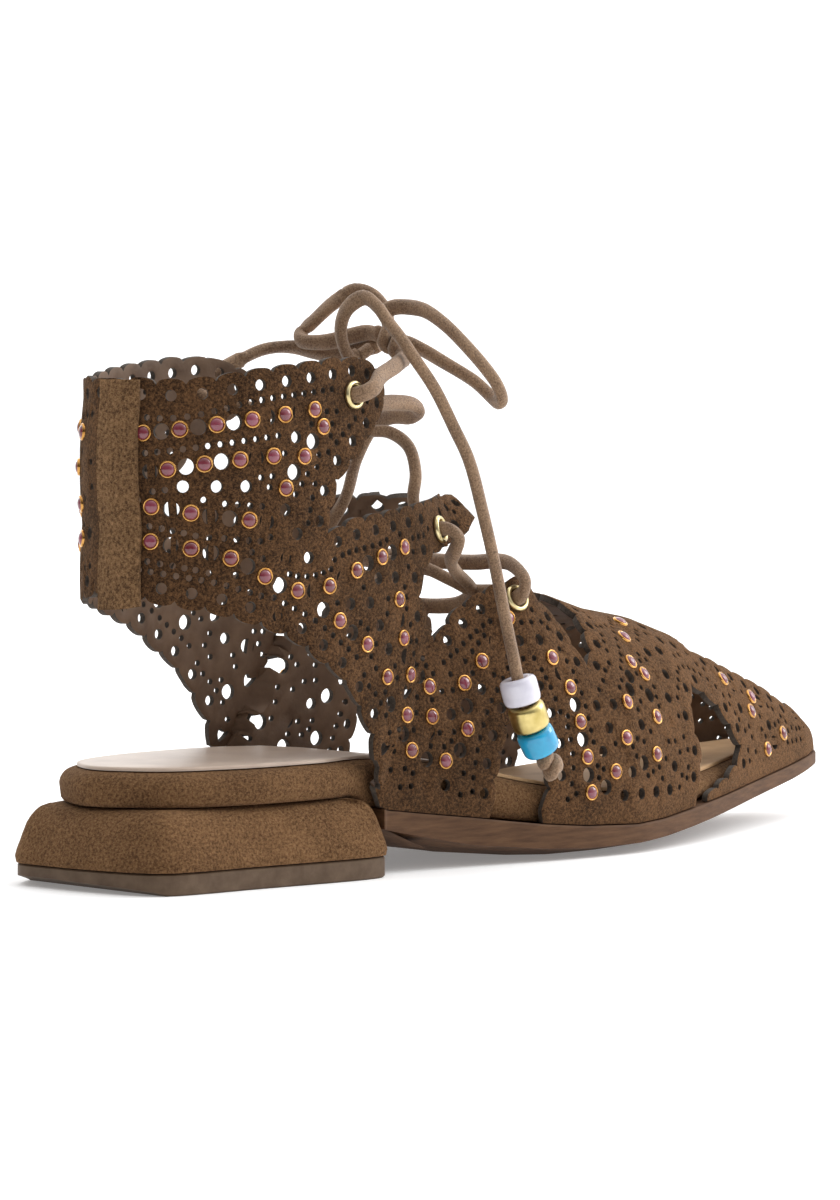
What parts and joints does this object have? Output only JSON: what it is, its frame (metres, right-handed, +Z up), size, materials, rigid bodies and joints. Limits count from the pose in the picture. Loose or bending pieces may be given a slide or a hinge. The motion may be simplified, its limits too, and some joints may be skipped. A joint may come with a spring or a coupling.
{
  "type": "suede sandal",
  "caption": "Flat suede ghillie sandal with perforated ankle cuff and straps, open pointed toe, low flared heel and a lace tied in a bow with beads.",
  "frame": {"origin": "centre of the heel's under side on the floor", "axes": "+X from heel to toe, +Y to the inner side of the foot, +Z up; the sandal stands on the plane z = 0"},
  "size_m": [0.2679, 0.0843, 0.1398],
  "materials": {
    "suede": "brown suede, short nap",
    "heel_suede": "tan-brown suede, short nap",
    "footbed_suede": "tan-brown suede, short nap",
    "sock_leather": "smooth pale beige, satin",
    "top_piece_rubber": "grey-brown, matt",
    "outsole_leather": "smooth brown, satin",
    "eyelet_brass": "pale gold, polished",
    "lace_suede": "light brown, matt",
    "white_bead": "white, glossy",
    "gold_bead": "gold, satin",
    "blue_bead": "turquoise, glossy"
  },
  "bodies": {
    "root": {"back_strip": "suede", "bead_blue": "blue_bead", "bead_gold": "gold_bead", "bead_white": "white_bead", "end_knot": "lace_suede", "eyelet_front_inner": "eyelet_brass", "eyelet_front_outer": "eyelet_brass", "eyelet_middle_inner": "eyelet_brass", "eyelet_middle_outer": "eyelet_brass", "eyelet_top_inner": "eyelet_brass", "eyelet_top_outer": "eyelet_brass", "footbed": "footbed_suede", "heel_block": "heel_suede", "heel_top_piece": "top_piece_rubber", "lace_bars": "lace_suede", "lace_end": "lace_suede", "lace_knot": "lace_suede", "lace_loop_back": "lace_suede", "lace_loop_front": "lace_suede", "outsole": "outsole_leather", "sock_lining": "sock_leather", "upper": "suede"}
  },
  "joints": []
}
